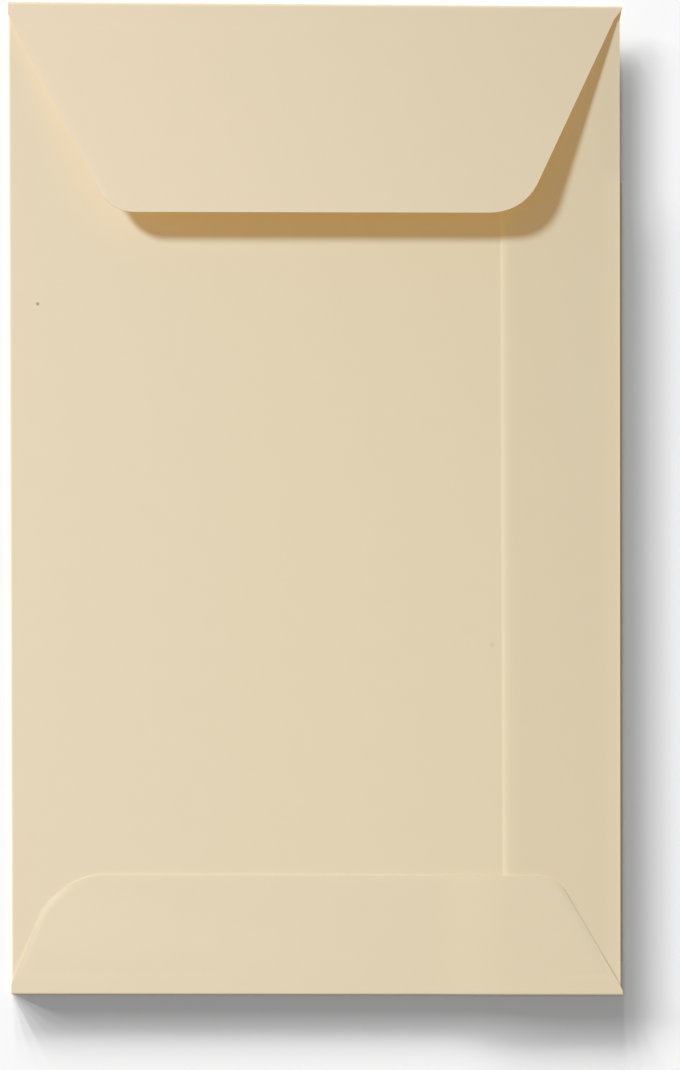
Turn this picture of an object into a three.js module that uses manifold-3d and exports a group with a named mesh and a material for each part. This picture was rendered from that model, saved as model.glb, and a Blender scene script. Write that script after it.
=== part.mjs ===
// A small pocket envelope, of the kind used for wages, coins or seeds, lying with its flap side up.
//
// The real one is a single die-cut sheet of cream paper. The front panel lies on the table. The narrow
// side flap folds over from the right, and the back panel folds over from the left and is glued on top
// of it, so it rises by one layer along the side flap's raw edge. The bottom flap folds up and is glued
// over the back panel, and the closing flap folds down from the top.
// Each panel and each fold is a piece of its own here, so that the closing flap can turn on its crease.
//
// Millimetres. X runs across the envelope, Y from the bottom fold to the flap fold, Z up from the table.

import * as THREE from 'three';
import { mergeVertices } from 'three/addons/utils/BufferGeometryUtils.js';
import Module from 'manifold-3d';

const wasm = await Module();
wasm.setup();

// Driving dimensions: the folded envelope
const envelopeWidth = 65;
const envelopeLength = 105;
const mouthDepth = 1.5; // from the flap fold down to the edge of the mouth

// Driving dimensions: the sheet, its adhesives and the air in the empty pocket
const paperThickness = 0.14;
const seamGlueThickness = 0.03;
const gumThickness = 0.02;
const pocketGap = 0.16;

// Driving dimensions: the side seam
const sideFlapWidthAtTop = 12.4;
const sideFlapWidthAtBottom = 12.2;
const sideFlapStart = 3.6; // from the bottom fold up to the lower end of the side flap's fold
const sideFlapEnd = 18.7; // from the flap fold down to the upper end of the side flap's fold
const sideFlapTaper = 2.5; // how much sooner the side flap's raw edge ends than its fold, at each end
const backPanelEdgeInset = 0.35; // from the right fold's outside to the back panel's raw edge
const sideGlueWidth = 4;
const sideGlueInset = 1.2; // from the side flap's raw edge to its glue
const sideGlueEndMargin = 2;

// Driving dimensions: the bottom flap
const bottomFlapHeight = 12.7;
const bottomFlapShoulder = 1.1; // the flap keeps the full width this far above the bottom fold
const bottomFlapInsetLeft = 4.8;
const bottomFlapInsetRight = 6.4;
const bottomFlapCornerRadiusLeft = 7.6;
const bottomFlapCornerRadiusRight = 5.3;
const bottomGlueMargin = 1.6; // from the flap's edges to its glue
const bottomGlueDepth = 6;

// Driving dimensions: the closing flap
const closingFlapDepth = 22.7; // along the sheet, from the flap fold to the free edge
const closingFlapShoulder = 1; // the flap keeps the full width this far from its root, on the left
const closingFlapInsetLeft = 11; // from the envelope's side to the end of the free edge
const closingFlapInsetRight = 10.7;
const closingFlapCornerRadiusLeft = 4.2;
const closingFlapCornerRadiusRight = 5.6;
const closingFlapRestAngle = 8; // degrees that the crease holds the flap up from closed
const gumDepth = 9;
const gumMargin = 1.5; // from the flap's edges to the gum

// Clearances
const layerEaseRun = 0.45; // length over which a sheet climbs a layer
const bottomFlapEaseRun = 1.3; // length over which the bottom flap comes down from its fold
const layerClearance = 0.1; // between a climbing sheet and the edge that it climbs over
const backPanelEndGap = 0.3; // from the bottom fold's inner round to the back panel's lower end
const foldEndGap = 0.3; // between the ends of two folds that meet at a corner
const creaseClearance = 0.05; // between the round of the crease and the root of the turning flap
const gumSeatGap = 0.005; // between the flap and the film of gum below it
const closedClearance = 0.01; // left under the gum when the flap is closed
const trimAllowance = 1; // spare sheet and spare die height round a piece that is cut to its outline

const arcSteps = 12;
const largestTangentShare = 0.9; // of the shorter edge beside a rounded corner
const paperColour = '#e0d1b3';
const glueColour = '#d8cba4';
const gumColour = '#e4dcc4';

// Heights of the layers above the table, bottom to top
const frontTop = paperThickness;
const backBottom = frontTop + pocketGap;
const backTop = backBottom + paperThickness;
const layerStep = paperThickness + seamGlueThickness;
const bottomFlapBottom = backBottom + layerStep;
const highestSheetTop = bottomFlapBottom + layerStep + paperThickness;
const closedFlapBottom = backTop + layerStep + closedClearance + gumThickness + gumSeatGap;

// Radii of the folds, each one bent round the gap that it spans
const sideFoldInner = (backBottom - frontTop) / 2;
const sideFoldOuter = sideFoldInner + paperThickness;
const bottomFoldInner = (bottomFlapBottom + layerStep - frontTop) / 2;
const bottomFoldOuter = bottomFoldInner + paperThickness;
const creaseInner = (closedFlapBottom - frontTop) / 2;
const creaseOuter = creaseInner + paperThickness;

// Places of the folds and edges
const rightEdge = envelopeWidth / 2;
const topEdge = envelopeLength / 2;
const bottomEdge = -envelopeLength / 2;
const sideFoldX = rightEdge - sideFoldOuter;
const bottomFoldY = bottomEdge + bottomFoldOuter;
const creaseY = topEdge - creaseOuter;
const mouthY = topEdge - mouthDepth;
const sideFlapStartY = bottomEdge + sideFlapStart;
const sideFlapEndY = topEdge - sideFlapEnd;
const backPanelRightX = rightEdge - backPanelEdgeInset;
const bottomFlapTopY = bottomEdge + bottomFlapHeight;

function paper(geometry, name, colour = paperColour) {
  const material = new THREE.MeshStandardMaterial({ color: colour, roughness: 0.85, metalness: 0 });
  const mesh = new THREE.Mesh(geometry, material);
  mesh.name = name;
  return mesh;
}

// A closed outline through the given corners. A corner with a radius gets an arc of that size,
// or of the largest size that the two edges beside it have room for.
function outline(corners) {
  const shape = new THREE.Shape();
  corners.forEach(({ x, y, radius = 0 }, i) => {
    const corner = new THREE.Vector2(x, y);
    if (radius === 0) {
      if (i === 0) shape.moveTo(x, y);
      else shape.lineTo(x, y);
      return;
    }
    const before = corners[(i + corners.length - 1) % corners.length];
    const after = corners[(i + 1) % corners.length];
    const toBefore = new THREE.Vector2(before.x - x, before.y - y);
    const toAfter = new THREE.Vector2(after.x - x, after.y - y);
    const halfAngle = Math.abs(Math.PI - Math.abs(toBefore.angle() - toAfter.angle())) / 2;
    const turn = Math.tan(halfAngle);
    const room = Math.min(toBefore.length(), toAfter.length()) * largestTangentShare;
    const tangent = Math.min(radius * turn, room);
    const start = corner.clone().addScaledVector(toBefore.normalize(), tangent);
    const end = corner.clone().addScaledVector(toAfter.normalize(), tangent);
    const usedRadius = tangent / turn;
    const inward = toBefore.clone().add(toAfter).normalize();
    const centre = corner.clone().addScaledVector(inward, usedRadius / Math.cos(halfAngle));
    const startAngle = start.clone().sub(centre).angle();
    const endAngle = end.clone().sub(centre).angle();
    if (i === 0) shape.moveTo(start.x, start.y);
    else shape.lineTo(start.x, start.y);
    const clockwise = toBefore.cross(toAfter) > 0;
    shape.absarc(centre.x, centre.y, usedRadius, startAngle, endAngle, clockwise);
  });
  shape.closePath();
  return shape;
}

function flatSheet(shape, bottom, thickness) {
  const geometry = new THREE.ExtrudeGeometry(shape, {
    depth: thickness,
    bevelEnabled: false,
    curveSegments: arcSteps,
  });
  geometry.translate(0, 0, bottom);
  return geometry;
}

// A four-sided sheet whose lower face passes through lowerFace(x, y) at each crossing of the lines
// and is flat between them. Each upright line gives its x for a y, so it can lean.
function drapedSheet(xLines, yLines, lowerFace, thickness) {
  const columns = xLines.length;
  const layerSize = columns * yLines.length;
  const positions = [];
  for (const lift of [0, thickness]) {
    for (const y of yLines) {
      for (const xLine of xLines) {
        const x = xLine(y);
        positions.push(x, y, lowerFace(x, y) + lift);
      }
    }
  }
  const triangles = [];
  const addQuad = (a, b, c, d) => triangles.push(a, b, c, a, c, d);
  const at = (i, j, layer) => layer * layerSize + j * columns + i;
  const lastColumn = columns - 1;
  const lastRow = yLines.length - 1;
  for (let j = 0; j < lastRow; j += 1) {
    for (let i = 0; i < lastColumn; i += 1) {
      addQuad(at(i, j, 1), at(i + 1, j, 1), at(i + 1, j + 1, 1), at(i, j + 1, 1));
      triangles.push(at(i, j, 0), at(i + 1, j + 1, 0), at(i + 1, j, 0));
      triangles.push(at(i, j, 0), at(i, j + 1, 0), at(i + 1, j + 1, 0));
    }
  }
  for (let i = 0; i < lastColumn; i += 1) {
    addQuad(at(i, 0, 0), at(i + 1, 0, 0), at(i + 1, 0, 1), at(i, 0, 1));
    addQuad(at(i + 1, lastRow, 0), at(i, lastRow, 0), at(i, lastRow, 1), at(i + 1, lastRow, 1));
  }
  for (let j = 0; j < lastRow; j += 1) {
    addQuad(at(0, j + 1, 0), at(0, j, 0), at(0, j, 1), at(0, j + 1, 1));
    addQuad(at(lastColumn, j, 0), at(lastColumn, j + 1, 0), at(lastColumn, j + 1, 1), at(lastColumn, j, 1));
  }
  const geometry = new THREE.BufferGeometry();
  geometry.setAttribute('position', new THREE.Float32BufferAttribute(positions, 3));
  geometry.setIndex(triangles);
  return geometry;
}

function toSolid(geometry) {
  const bare = geometry.clone();
  bare.deleteAttribute('normal');
  bare.deleteAttribute('uv');
  const merged = mergeVertices(bare);
  const vertProperties = new Float32Array(merged.attributes.position.array);
  const triVerts = new Uint32Array(merged.index.array);
  return new wasm.Manifold(new wasm.Mesh({ numProp: 3, vertProperties, triVerts }));
}

// The part of a draped sheet that lies inside an outline, cut square through the sheet.
function cutToOutline(sheet, shape) {
  const dieHeight = highestSheetTop + 2 * trimAllowance;
  const die = flatSheet(shape, -trimAllowance, dieHeight);
  const cut = toSolid(sheet).intersect(toSolid(die)).getMesh();
  const geometry = new THREE.BufferGeometry();
  geometry.setAttribute('position', new THREE.Float32BufferAttribute(cut.vertProperties, 3));
  geometry.setIndex(Array.from(cut.triVerts));
  geometry.computeVertexNormals();
  return geometry;
}

// A strip of paper bent round a fold line. The bend runs from straight down to endAngle degrees,
// counted from the outward direction, and is cut in two there so that a corner of the faceted round
// lies furthest out. Its own Z axis lies along the fold.
function foldStrip(name, { inner, outer, length, outward, position, endAngle = 90 }) {
  const start = -Math.PI / 2;
  const end = THREE.MathUtils.degToRad(endAngle);
  const section = new THREE.Shape();
  section.absarc(0, 0, outer, start, 0, false);
  section.absarc(0, 0, outer, 0, end, false);
  section.absarc(0, 0, inner, end, 0, true);
  section.absarc(0, 0, inner, 0, start, true);
  section.closePath();
  const geometry = new THREE.ExtrudeGeometry(section, {
    depth: length,
    bevelEnabled: false,
    curveSegments: arcSteps / 2,
  });
  geometry.translate(0, 0, -length / 2);
  const up = new THREE.Vector3(0, 0, 1);
  const along = new THREE.Vector3().crossVectors(outward, up);
  const mesh = paper(geometry, name);
  mesh.quaternion.setFromRotationMatrix(new THREE.Matrix4().makeBasis(outward, up, along));
  mesh.position.copy(position);
  return mesh;
}

// The side flap's raw edge leans a little, so its place depends on the height along the envelope.
function seamX(y) {
  const share = (y - sideFlapStartY) / (sideFlapEndY - sideFlapStartY);
  return rightEdge - THREE.MathUtils.lerp(sideFlapWidthAtBottom, sideFlapWidthAtTop, share);
}

// A sheet that is laid over the side flap climbs one layer just before the side flap's raw edge.
const climbEnd = (y) => seamX(y) - layerClearance;
const climbStart = (y) => climbEnd(y) - layerEaseRun;

// How far up that climb a sheet is, from 0 on the left of it to 1 on the right.
function climb(x, y) {
  return THREE.MathUtils.clamp((x - climbStart(y)) / layerEaseRun, 0, 1);
}

// The front panel's sides step in along the two side folds, because each fold takes over there.
function frontPanel() {
  const shape = outline([
    { x: -sideFoldX, y: bottomFoldY },
    { x: rightEdge, y: bottomFoldY },
    { x: rightEdge, y: sideFlapStartY },
    { x: sideFoldX, y: sideFlapStartY },
    { x: sideFoldX, y: sideFlapEndY },
    { x: rightEdge, y: sideFlapEndY },
    { x: rightEdge, y: creaseY },
    { x: -rightEdge, y: creaseY },
    { x: -rightEdge, y: mouthY },
    { x: -sideFoldX, y: mouthY },
  ]);
  return paper(flatSheet(shape, 0, paperThickness), 'front_panel');
}

function backPanel() {
  const xLines = [() => -sideFoldX, climbStart, climbEnd, () => backPanelRightX];
  const yLines = [bottomFoldY + backPanelEndGap, mouthY];
  const lowerFace = (x, y) => backBottom + layerStep * climb(x, y);
  return paper(drapedSheet(xLines, yLines, lowerFace, paperThickness), 'back_panel');
}

function sideFold(name, side, start, end) {
  return foldStrip(name, {
    inner: sideFoldInner,
    outer: sideFoldOuter,
    length: end - start,
    outward: new THREE.Vector3(side, 0, 0),
    position: new THREE.Vector3(side * sideFoldX, (start + end) / 2, sideFoldOuter),
  });
}

function sideFlap() {
  const rawEdgeStart = sideFlapStartY + sideFlapTaper;
  const rawEdgeEnd = sideFlapEndY - sideFlapTaper;
  const shape = outline([
    { x: seamX(rawEdgeStart), y: rawEdgeStart },
    { x: sideFoldX, y: sideFlapStartY },
    { x: sideFoldX, y: sideFlapEndY },
    { x: seamX(rawEdgeEnd), y: rawEdgeEnd },
  ]);
  return paper(flatSheet(shape, backBottom, paperThickness), 'side_flap');
}

function sideSeamGlue() {
  const lowerEnd = sideFlapStartY + sideFlapTaper + sideGlueEndMargin;
  const upperEnd = sideFlapEndY - sideFlapTaper - sideGlueEndMargin;
  const left = (y) => seamX(y) + sideGlueInset;
  const shape = outline([
    { x: left(lowerEnd), y: lowerEnd },
    { x: left(lowerEnd) + sideGlueWidth, y: lowerEnd },
    { x: left(upperEnd) + sideGlueWidth, y: upperEnd },
    { x: left(upperEnd), y: upperEnd },
  ]);
  return paper(flatSheet(shape, backTop, seamGlueThickness), 'side_seam_glue', glueColour);
}

function bottomFold() {
  return foldStrip('bottom_fold', {
    inner: bottomFoldInner,
    outer: bottomFoldOuter,
    length: 2 * rightEdge,
    outward: new THREE.Vector3(0, -1, 0),
    position: new THREE.Vector3(0, bottomFoldY, bottomFoldOuter),
  });
}

// The bottom flap's slanted edges: side is -1 for the left one and 1 for the right one.
function bottomFlapEdgeX(side, y) {
  const inset = side < 0 ? bottomFlapInsetLeft : bottomFlapInsetRight;
  const shoulderY = bottomEdge + bottomFlapShoulder;
  const share = Math.max(0, (y - shoulderY) / (bottomFlapTopY - shoulderY));
  return side * (rightEdge - share * inset);
}

// The bottom flap comes off its fold one layer up, comes down onto the back panel on the left of the
// side seam, and stays up on the right of it.
function bottomFlapLowerFace(x, y) {
  const fromFold = THREE.MathUtils.clamp((y - bottomFoldY) / bottomFlapEaseRun, 0, 1);
  return bottomFlapBottom + layerStep * Math.max(climb(x, y), 1 - fromFold);
}

function bottomSheet(shape, drop, thickness) {
  const spareX = rightEdge + trimAllowance;
  const xLines = [() => -spareX, climbStart, climbEnd, () => spareX];
  const yLines = [bottomFoldY, bottomFoldY + bottomFlapEaseRun, bottomFlapTopY];
  const lowerFace = (x, y) => bottomFlapLowerFace(x, y) - drop;
  return cutToOutline(drapedSheet(xLines, yLines, lowerFace, thickness), shape);
}

function bottomFlap() {
  const shoulderY = bottomEdge + bottomFlapShoulder;
  const topY = bottomFlapTopY;
  const shape = outline([
    { x: -rightEdge, y: bottomFoldY },
    { x: rightEdge, y: bottomFoldY },
    { x: rightEdge, y: shoulderY },
    { x: bottomFlapEdgeX(1, topY), y: topY, radius: bottomFlapCornerRadiusRight },
    { x: bottomFlapEdgeX(-1, topY), y: topY, radius: bottomFlapCornerRadiusLeft },
    { x: -rightEdge, y: shoulderY },
  ]);
  return paper(bottomSheet(shape, 0, paperThickness), 'bottom_flap');
}

function bottomSeamGlue() {
  const upperEnd = bottomFlapTopY - bottomGlueMargin;
  const lowerEnd = upperEnd - bottomGlueDepth;
  const rightRadius = Math.max(0, bottomFlapCornerRadiusRight - bottomGlueMargin);
  const leftRadius = Math.max(0, bottomFlapCornerRadiusLeft - bottomGlueMargin);
  const edge = (side, y) => bottomFlapEdgeX(side, y) - side * bottomGlueMargin;
  const shape = outline([
    { x: edge(-1, lowerEnd), y: lowerEnd },
    { x: edge(1, lowerEnd), y: lowerEnd },
    { x: edge(1, upperEnd), y: upperEnd, radius: rightRadius },
    { x: edge(-1, upperEnd), y: upperEnd, radius: leftRadius },
  ]);
  const glue = bottomSheet(shape, seamGlueThickness, seamGlueThickness);
  return paper(glue, 'bottom_seam_glue', glueColour);
}

function flapCrease() {
  return foldStrip('flap_crease', {
    inner: creaseInner,
    outer: creaseOuter,
    length: 2 * rightEdge,
    outward: new THREE.Vector3(0, 1, 0),
    position: new THREE.Vector3(0, creaseY, creaseOuter),
    endAngle: 90 - closingFlapRestAngle,
  });
}

// The closing flap's own group turns about the crease. In it, the flap reaches towards -Y.
const closingFlapEndY = -(closingFlapDepth - creaseOuter);
const closingFlapRootY = -Math.sqrt((creaseOuter + creaseClearance) ** 2 - creaseInner ** 2);

const closingFlapShoulderY = closingFlapRootY - closingFlapShoulder;

// The closing flap's slanted edges: side is -1 for the left one, which starts at the shoulder, and 1
// for the right one, which starts at the root.
function closingFlapEdgeX(side, y) {
  const inset = side < 0 ? closingFlapInsetLeft : closingFlapInsetRight;
  const startY = side < 0 ? closingFlapShoulderY : closingFlapRootY;
  const share = Math.max(0, (y - startY) / (closingFlapEndY - startY));
  return side * (rightEdge - share * inset);
}

function closingFlap() {
  const endY = closingFlapEndY;
  const shape = outline([
    { x: closingFlapEdgeX(-1, endY), y: endY, radius: closingFlapCornerRadiusLeft },
    { x: closingFlapEdgeX(1, endY), y: endY, radius: closingFlapCornerRadiusRight },
    { x: rightEdge, y: closingFlapRootY },
    { x: -rightEdge, y: closingFlapRootY },
    { x: -rightEdge, y: closingFlapShoulderY },
  ]);
  return paper(flatSheet(shape, creaseInner, paperThickness), 'closing_flap');
}

function gumStrip() {
  const nearEdge = closingFlapEndY + gumMargin;
  const farEdge = nearEdge + gumDepth;
  const leftRadius = Math.max(0, closingFlapCornerRadiusLeft - gumMargin);
  const rightRadius = Math.max(0, closingFlapCornerRadiusRight - gumMargin);
  const edge = (side, y) => closingFlapEdgeX(side, y) - side * gumMargin;
  const shape = outline([
    { x: edge(-1, nearEdge), y: nearEdge, radius: leftRadius },
    { x: edge(1, nearEdge), y: nearEdge, radius: rightRadius },
    { x: edge(1, farEdge), y: farEdge },
    { x: edge(-1, farEdge), y: farEdge },
  ]);
  const bottom = creaseInner - gumSeatGap - gumThickness;
  return paper(flatSheet(shape, bottom, gumThickness), 'gum_strip', gumColour);
}

function turningFlap() {
  const group = new THREE.Group();
  group.position.set(0, creaseY, creaseOuter);
  group.rotation.x = -THREE.MathUtils.degToRad(closingFlapRestAngle);
  group.add(closingFlap(), gumStrip());
  return group;
}

const envelope = new THREE.Group();
envelope.add(
  frontPanel(),
  sideFold('left_fold', -1, bottomFoldY + foldEndGap, mouthY),
  backPanel(),
  sideFold('right_fold', 1, sideFlapStartY, sideFlapEndY),
  sideFlap(),
  sideSeamGlue(),
  bottomFold(),
  bottomFlap(),
  bottomSeamGlue(),
  flapCrease(),
  turningFlap(),
);

export default envelope;
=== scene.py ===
# %% [markdown]
# # A small pocket envelope of cream paper
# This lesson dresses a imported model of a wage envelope. The real one is a single sheet of paper, cut by
# a die, folded along four lines and glued at its side and bottom. It is nearly all flat surface, so
# what the eye reads is small: a ridge where one layer lies over another, edges pressed down by about a
# tenth of a millimetre, the light that comes through the flap, and a soft shadow. Each of those gets a
# step here.

import math

import bmesh
import bpy
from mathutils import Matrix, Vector


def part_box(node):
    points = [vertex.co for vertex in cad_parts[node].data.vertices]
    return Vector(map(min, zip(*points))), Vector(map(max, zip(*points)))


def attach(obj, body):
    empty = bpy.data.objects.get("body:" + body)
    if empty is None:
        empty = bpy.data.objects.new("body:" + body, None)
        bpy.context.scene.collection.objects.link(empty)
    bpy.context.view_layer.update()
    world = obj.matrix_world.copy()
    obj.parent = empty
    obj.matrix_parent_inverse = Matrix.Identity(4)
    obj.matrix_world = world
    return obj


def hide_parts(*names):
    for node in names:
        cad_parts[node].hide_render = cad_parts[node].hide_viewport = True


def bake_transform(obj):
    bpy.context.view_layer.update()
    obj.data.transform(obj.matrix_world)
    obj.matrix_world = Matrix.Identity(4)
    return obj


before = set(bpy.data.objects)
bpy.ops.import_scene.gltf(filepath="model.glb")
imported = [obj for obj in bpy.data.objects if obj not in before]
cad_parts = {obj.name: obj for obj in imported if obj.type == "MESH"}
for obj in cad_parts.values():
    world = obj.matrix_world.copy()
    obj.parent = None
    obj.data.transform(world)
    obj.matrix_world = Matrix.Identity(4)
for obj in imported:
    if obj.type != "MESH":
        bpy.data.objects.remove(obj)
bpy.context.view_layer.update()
MM = 0.001

for name in sorted(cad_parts):
    low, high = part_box(name)
    print(name, [round(value / MM, 2) for value in (*low, *high)])

# %% [markdown]
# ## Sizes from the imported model
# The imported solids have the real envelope's sizes. Those could be typed in again, but then a change of
# the model would leave its looks behind, so each size that a solid can give is read from its box. The
# envelope lies with its middle at the origin, so the right edge's place is half of the width. The
# crease is a round that stands on the table, so its axis is as high as the round is deep.

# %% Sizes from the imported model
def reach(node, end, axis):
    """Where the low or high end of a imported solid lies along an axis, in millimetres."""
    low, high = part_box(node)
    return round(getattr(low if end == "low" else high, axis) / MM, 4)


PAPER = reach("front_panel", "high", "z")
RIGHT = reach("front_panel", "high", "x")
TOP = reach("flap_crease", "high", "y")
SIDE_FOLD_X = reach("side_flap", "high", "x")
BOTTOM_FOLD_Y = reach("front_panel", "low", "y")
CREASE_Y = reach("front_panel", "high", "y")
CREASE_Z = round(TOP - CREASE_Y, 4)
print("paper", PAPER, "mm thick, envelope", 2 * RIGHT, "by", 2 * TOP, "mm")

# %% [markdown]
# ## The camera
# The photograph looks straight down on the envelope. Four corners seen in a picture are enough to find
# the camera that took it, once the real width and length are known, so its place and its small tilt
# come from that. A long lens keeps the sides nearly parallel. The picture is taller than wide, and the
# sensor's 36 mm lie along its longer side, so the lens length holds for the height.

# %% Camera
CAMERA_PLACE = (-3.621, 0.147, 314.779)
CAMERA_TILT_DEGREES = (-0.694, -1.11, 0.016)

camera_data = bpy.data.cameras.new("overhead_camera")
camera_data.lens = 100
camera_data.sensor_width = 36
camera_data.clip_start = 0.01
camera_data.clip_end = 10
camera = bpy.data.objects.new("overhead_camera", camera_data)
bpy.context.scene.collection.objects.link(camera)
camera.location = Vector(CAMERA_PLACE) * MM
camera.rotation_euler = [math.radians(angle) for angle in CAMERA_TILT_DEGREES]
bpy.context.scene.camera = camera
bpy.context.scene.view_settings.view_transform = "Standard"
print("camera", round(camera.location.z / MM), "mm above the table")

# %% [markdown]
# ## Tools for working on a sheet
# Everything below is one kind of object, a sheet of paper, made the same way. It starts as a plane at
# the middle of the paper's thickness. Cuts are bisected across it where it has to bend, the folds are
# spun, and the Solidify modifier gives it its thickness at the end. These helpers open a sheet for
# editing and pick its parts by where they are, because picking by number breaks when a step changes.

# %% Start, pick and cut
NEAR = 0.01  # a point this close to a place counts as lying there


def start_sheet(name, x_range, y_range, z):
    """A plane between two places along x and y, at a height, all in millimetres."""
    bpy.ops.object.select_all(action="DESELECT")
    middle = ((x_range[0] + x_range[1]) / 2 * MM, (y_range[0] + y_range[1]) / 2 * MM, z * MM)
    bpy.ops.mesh.primitive_plane_add(size=1, location=middle)
    piece = bpy.context.object
    piece.name = name
    piece.data.name = name
    piece.scale = ((x_range[1] - x_range[0]) * MM, (y_range[1] - y_range[0]) * MM, 1)
    bpy.ops.object.transform_apply(location=True, rotation=True, scale=True)
    return piece


def pick(piece, kind, test):
    """Select the vertices, edges or faces whose middle passes a test in millimetres."""
    mesh = bmesh.from_edit_mesh(piece.data)
    for group in (mesh.verts, mesh.edges, mesh.faces):
        for element in group:
            element.select_set(False)
    parts = {"VERT": mesh.verts, "EDGE": mesh.edges, "FACE": mesh.faces}[kind]
    bpy.context.tool_settings.mesh_select_mode = tuple(kind == k for k in ("VERT", "EDGE", "FACE"))
    for part in parts:
        corners = [part.co] if kind == "VERT" else [vertex.co for vertex in part.verts]
        middle = sum(corners, Vector()) / len(corners) / MM
        if test(middle, part):
            part.select_set(True)
    bmesh.update_edit_mesh(piece.data)


def cut(piece, point, direction):
    """Bisect the whole sheet with an upright plane through a point, square to a direction."""
    bpy.ops.mesh.select_all(action="SELECT")
    bpy.ops.mesh.bisect(plane_co=Vector(point) * MM, plane_no=direction)


print("points within", NEAR, "mm of a place are picked there")

# %% [markdown]
# ## Front panel and crease
# On the real envelope the closing flap is the same sheet as the front panel: the paper comes up round
# the crease and lies back over the pocket, held a little open by the crease's spring. If the two were
# separate pieces, opening the flap would tear them apart, so they are one piece here. The front
# panel's top edge is spun round the crease's axis, and stops short of half a turn by the angle at which
# the flap stands open.

# %% Front panel and crease
REST_ANGLE = math.radians(8)
CREASE_STEPS = 20

front = start_sheet(
    "front_and_closing_flap", (-SIDE_FOLD_X, SIDE_FOLD_X), (BOTTOM_FOLD_Y, CREASE_Y), PAPER / 2
)
bpy.ops.object.mode_set(mode="EDIT")
pick(front, "EDGE", lambda middle, edge: middle.y > CREASE_Y - NEAR)
bpy.ops.mesh.spin(
    steps=CREASE_STEPS,
    angle=math.pi - REST_ANGLE,
    center=(0, CREASE_Y * MM, CREASE_Z * MM),
    axis=(-1, 0, 0),
)
along = Vector((0, -math.cos(REST_ANGLE), math.sin(REST_ANGLE)))
upwards = Vector((0, math.sin(REST_ANGLE), math.cos(REST_ANGLE)))
root = Vector((0, CREASE_Y, CREASE_Z)) + (CREASE_Z - PAPER / 2) * upwards
print("the flap starts at y", round(root.y, 2), "and z", round(root.z, 2))

# %% [markdown]
# ## Closing flap
# The flap leaves the crease as a straight, nearly flat plate. The edge that the spin leaves selected is
# extruded along the flap twice: over a short shoulder, where the die keeps the flap as wide as the
# envelope, and on to the free edge. From here on, places on the flap are told apart by how far they
# lie along it, because height and length change together on a plate that is tilted.

# %% Closing flap
FLAP_DEPTH = 22.5  # along the sheet, from the envelope's top to the free edge
FLAP_LENGTH = FLAP_DEPTH - CREASE_Z
FLAP_SHOULDER = 1.05


def flap_run(point):
    """How far along the flap from its root a point is, or below 0 for what isn't on the flap."""
    if abs((point - root).dot(upwards)) > PAPER:
        return -1
    return (point - root).dot(along)


for length in (FLAP_SHOULDER, FLAP_LENGTH - FLAP_SHOULDER):
    bpy.ops.mesh.extrude_edges_move(TRANSFORM_OT_translate={"value": along * length * MM})
print("flap", round(FLAP_LENGTH, 2), "mm long from the end of its crease")

# %% [markdown]
# ## Full width past the side folds
# The side folds belong to other sheets and stop short of the top and the bottom. There the front sheet
# itself has to reach the envelope's full width, and so does the crease. The front panel is cut across
# in pairs of lines just past the folds' ends, and what lies beyond each pair moves out to the side,
# which leaves a small step in the outline, as the die does.

# %% Full width past the side folds
FOLD_ENDS_Y = (reach("left_fold", "low", "y"), reach("left_fold", "high", "y"))
STEP_FROM = 0.02
STEP_MIDDLE = 0.04
STEP_TO = 0.05


def has_full_width(point):
    past_folds = not FOLD_ENDS_Y[0] - STEP_MIDDLE < point.y < FOLD_ENDS_Y[1] + STEP_MIDDLE
    return past_folds or point.z > PAPER


for fold_end, outwards in zip(FOLD_ENDS_Y, (-1, 1)):
    for past in (STEP_FROM, STEP_TO):
        pick(front, "FACE", lambda middle, face: middle.z < PAPER)
        bpy.ops.mesh.bisect(plane_co=(0, (fold_end + outwards * past) * MM, 0), plane_no=(0, 1, 0))
for side in (-1, 1):
    pick(
        front,
        "VERT",
        lambda point, vertex: point.x * side > SIDE_FOLD_X - NEAR and has_full_width(point),
    )
    bpy.ops.transform.translate(value=(side * (RIGHT - SIDE_FOLD_X) * MM, 0, 0))
print("widened by", round(RIGHT - SIDE_FOLD_X, 2), "mm on each side")

# %% [markdown]
# ## The flap's outline
# The flap is a trapezoid with two rounded corners, and not quite an even one: the right side starts a
# little further in, and the left end is a little longer. Moving the vertices of its cross lines
# inwards gives the slants, and a vertex bevel rounds each corner. The bevel's offset is measured along
# the edges, so it is worked out from the corner's radius and its angle.

# %% The flap's outline
FLAP_ROOT = {-1: RIGHT, 1: RIGHT - 0.35}
FLAP_END = {-1: RIGHT - 11, 1: RIGHT - 10.7}
FLAP_CORNER = {-1: 4.2, 1: 6.3}
FLAP_LONGER_LEFT = 0.18
CORNER_SEGMENTS = 16
CORNER_PROFILE = 0.57

for side, end_x in FLAP_END.items():
    inset = FLAP_ROOT[side] - end_x
    start = FLAP_SHOULDER if side < 0 else 0
    for run in (FLAP_SHOULDER, FLAP_LENGTH):
        pick(
            front,
            "VERT",
            lambda point, vertex: abs(flap_run(point) - run) < NEAR and point.x * side > 0,
        )
        share = (run - start) / (FLAP_LENGTH - start)
        inwards = RIGHT - FLAP_ROOT[side] + inset * share
        bpy.ops.transform.translate(value=(-side * inwards * MM, 0, 0))
pick(front, "VERT", lambda point, vertex: abs(flap_run(point) - FLAP_LENGTH) < NEAR and point.x < 0)
bpy.ops.transform.translate(value=along * FLAP_LONGER_LEFT * MM)
for side, end_x in FLAP_END.items():
    slant = math.atan2(FLAP_LENGTH, RIGHT - end_x)
    pick(
        front,
        "VERT",
        lambda point, vertex: flap_run(point) > FLAP_LENGTH - NEAR and point.x * side > 0,
    )
    bpy.ops.mesh.bevel(
        affect="VERTICES",
        offset=FLAP_CORNER[side] * math.tan(slant / 2) * MM,
        segments=CORNER_SEGMENTS,
        profile=CORNER_PROFILE,
    )
    print("side", side, "slants at", round(math.degrees(slant), 1), "degrees")

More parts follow.
